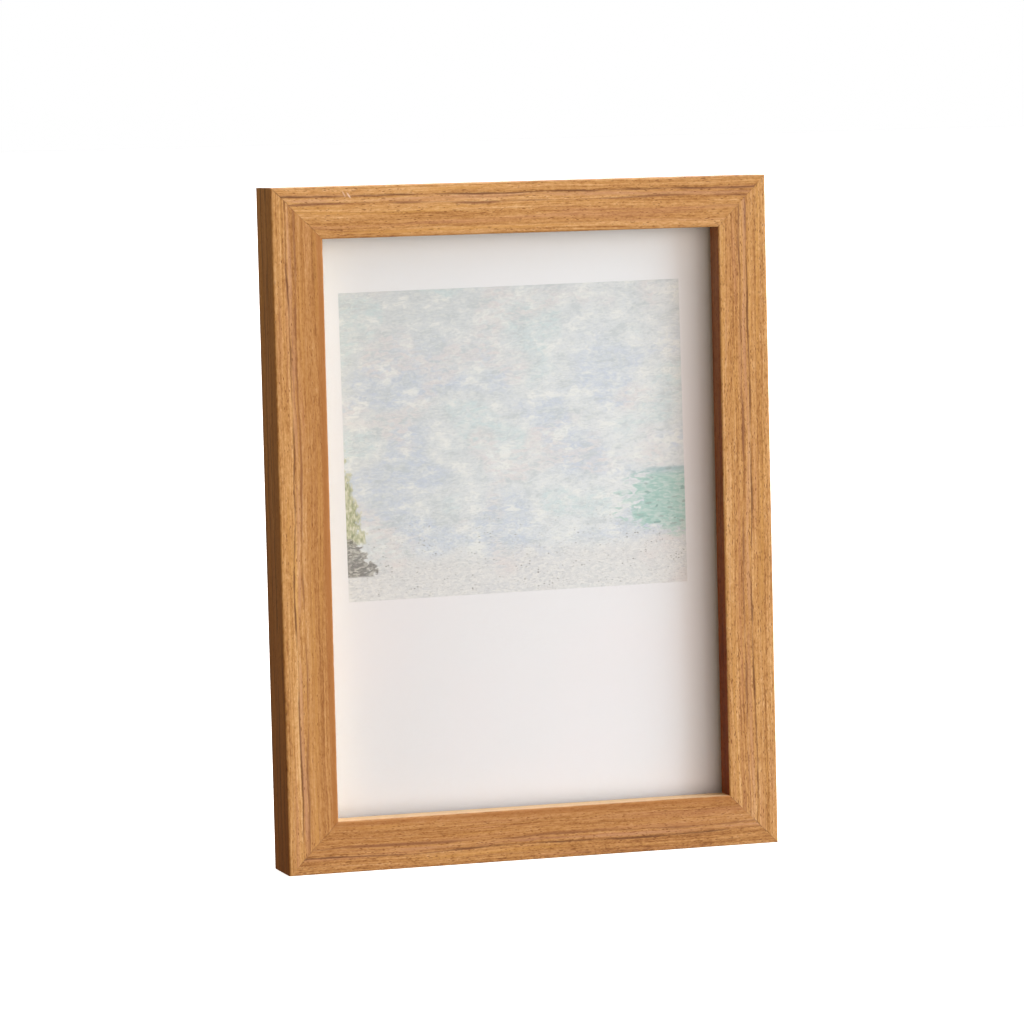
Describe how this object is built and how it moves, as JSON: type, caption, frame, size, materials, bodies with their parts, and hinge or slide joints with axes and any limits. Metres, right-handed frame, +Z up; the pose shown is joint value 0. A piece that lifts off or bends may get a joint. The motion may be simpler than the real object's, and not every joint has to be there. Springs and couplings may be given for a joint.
{
  "type": "picture frame",
  "caption": "Small upright wooden picture frame: mitred square-edged rails, recessed glass over a bordered print, backboard with turn buttons, easel strut and hanging rings.",
  "frame": {"origin": "bottom centre of the object's box, on the surface it stands on", "axes": "+Z up along the tall side, front facing -Y, +X to the right as seen from the front"},
  "size_m": [0.155, 0.0222, 0.205],
  "materials": {
    "oak": "satin stained open-grain wood",
    "glass": "clear polished",
    "print": "matte coated paper with a printed seascape",
    "card": "matte",
    "corrugated": "matte kraft",
    "hardboard": "smooth pressed fibre board",
    "nickel_steel": "nickel plated",
    "nail_steel": "plain"
  },
  "bodies": {
    "frame": {"rail_top": "oak", "rail_bottom": "oak", "rail_left": "oak", "rail_right": "oak", "corner_nail_bottom_left_outer": "nail_steel", "corner_nail_bottom_left_inner": "nail_steel", "corner_nail_bottom_right_outer": "nail_steel", "corner_nail_bottom_right_inner": "nail_steel", "corner_nail_top_left_outer": "nail_steel", "corner_nail_top_left_inner": "nail_steel", "corner_nail_top_right_outer": "nail_steel", "corner_nail_top_right_inner": "nail_steel", "glass_pane": "glass", "art_print": "print", "backing_card": "card", "filler_board": "corrugated", "backboard": "hardboard", "button_screw_left_lower": "nickel_steel", "button_screw_left_upper": "nickel_steel", "button_screw_right_lower": "nickel_steel", "button_screw_right_upper": "nickel_steel", "hinge_plate": "nickel_steel", "hinge_pin": "nickel_steel", "hinge_rivet_left": "nickel_steel", "hinge_rivet_right": "nickel_steel", "hanger_strap_portrait": "nickel_steel", "hanger_rivet_portrait": "nickel_steel", "hanger_strap_landscape": "nickel_steel", "hanger_rivet_landscape": "nickel_steel"},
    "strut": {"easel_strut": "hardboard", "strut_plate": "nickel_steel", "strut_rivet_left": "nickel_steel", "strut_rivet_right": "nickel_steel"},
    "button_left_lower": {"turn_button_left_lower": "nickel_steel"},
    "button_left_upper": {"turn_button_left_upper": "nickel_steel"},
    "button_right_lower": {"turn_button_right_lower": "nickel_steel"},
    "button_right_upper": {"turn_button_right_upper": "nickel_steel"},
    "ring_portrait": {"hanger_ring_portrait": "nickel_steel"},
    "ring_landscape": {"hanger_ring_landscape": "nickel_steel"}
  },
  "joints": [
    {"name": "strut_hinge", "type": "hinge", "parent": "frame", "child": "strut", "pos_m": [0, 0.0087, 0.1475], "axis": [1, 0, 0], "range_deg": [0, 30]},
    {"name": "button_left_lower_turn", "type": "hinge", "parent": "frame", "child": "button_left_lower", "pos_m": [-0.0715, 0.00745, 0.055], "axis": [0, 1, 0], "continuous": true},
    {"name": "button_left_upper_turn", "type": "hinge", "parent": "frame", "child": "button_left_upper", "pos_m": [-0.0715, 0.00745, 0.15], "axis": [0, 1, 0], "continuous": true},
    {"name": "button_right_lower_turn", "type": "hinge", "parent": "frame", "child": "button_right_lower", "pos_m": [0.0715, 0.00745, 0.055], "axis": [0, 1, 0], "continuous": true},
    {"name": "button_right_upper_turn", "type": "hinge", "parent": "frame", "child": "button_right_upper", "pos_m": [0.0715, 0.00745, 0.15], "axis": [0, 1, 0], "continuous": true},
    {"name": "ring_portrait_flip", "type": "hinge", "parent": "frame", "child": "ring_portrait", "pos_m": [0, 0.00855, 0.1865], "axis": [1, 0, 0], "range_deg": [0, 180]},
    {"name": "ring_landscape_flip", "type": "hinge", "parent": "frame", "child": "ring_landscape", "pos_m": [-0.059, 0.00855, 0.1025], "axis": [0, 0, 1], "range_deg": [0, 180]}
  ]
}
